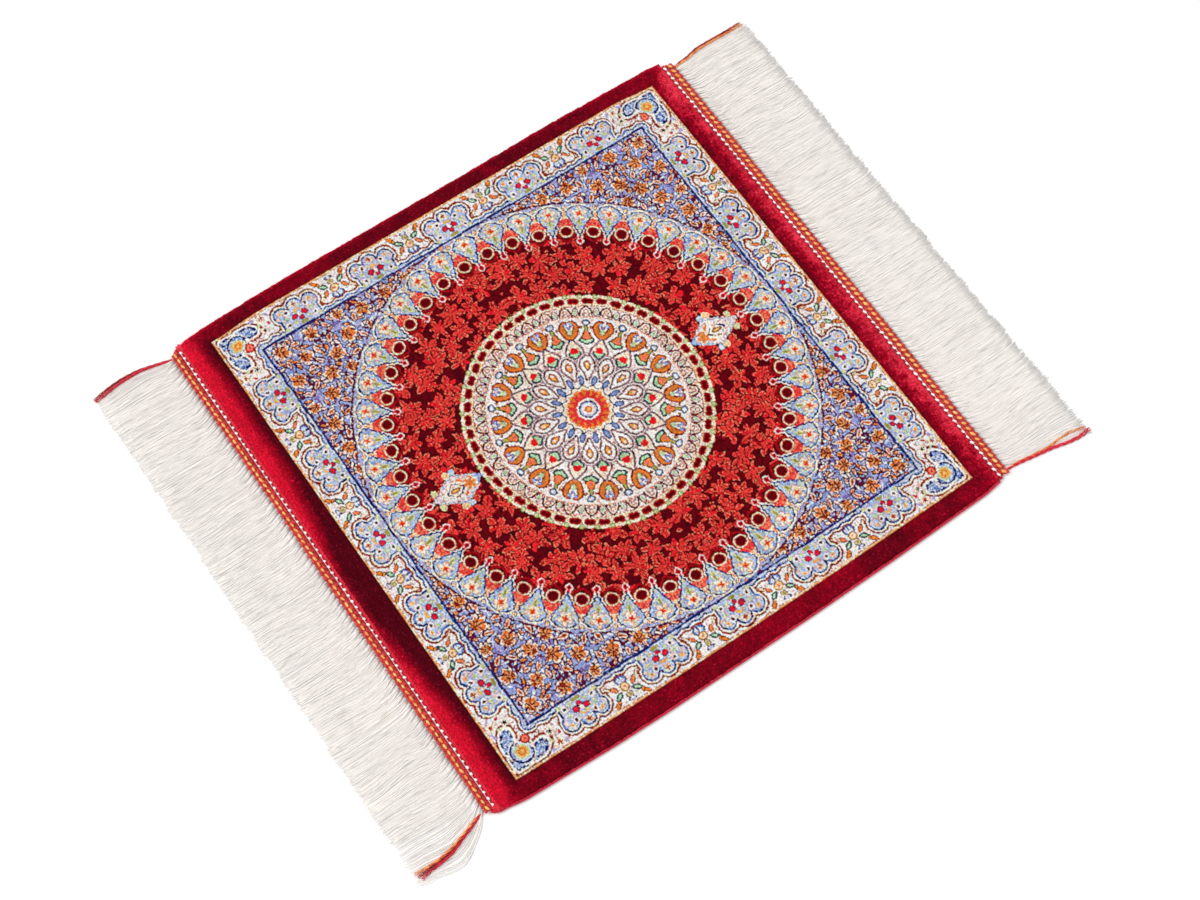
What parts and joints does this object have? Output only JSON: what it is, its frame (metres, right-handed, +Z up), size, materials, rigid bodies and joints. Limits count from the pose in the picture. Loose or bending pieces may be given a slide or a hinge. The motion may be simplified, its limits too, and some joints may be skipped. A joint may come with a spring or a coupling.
{
  "type": "square accent rug",
  "caption": "Small square knotted pile rug with a round medallion pattern, overcast side cords, twined end bands, ivory fringes and coloured yarn ends, lying flat.",
  "frame": {"origin": "centre of the patterned square at floor level, which is also the middle of the bounding box's base to within 3 mm", "axes": "+X along the fringed ends, towards the right side cord; +Y along the warps, towards the far fringe; +Z up out of the pile"},
  "size_m": [0.408, 0.5498, 0.0045],
  "materials": {
    "pile": "clipped lustrous pile, knotted in a red, blue, ivory and orange pattern",
    "side_cord": "crimson yarn overcast round the outer warps",
    "end_band": "twined stitches in rust red and orange gold yarn",
    "fringe": "fine loose ivory warp threads",
    "coloured_yarn": "loose rust red and orange yarn ends"
  },
  "bodies": {
    "root": {"pile_rug": "pile", "side_cord_left": "side_cord", "side_cord_right": "side_cord", "end_band_near": "end_band", "end_band_far": "end_band", "fringe_near": "fringe", "fringe_far": "fringe", "yarn_lock_near_left": "coloured_yarn", "yarn_lock_near_right": "coloured_yarn", "yarn_lock_far_left": "coloured_yarn", "yarn_lock_far_right": "coloured_yarn"}
  },
  "joints": []
}
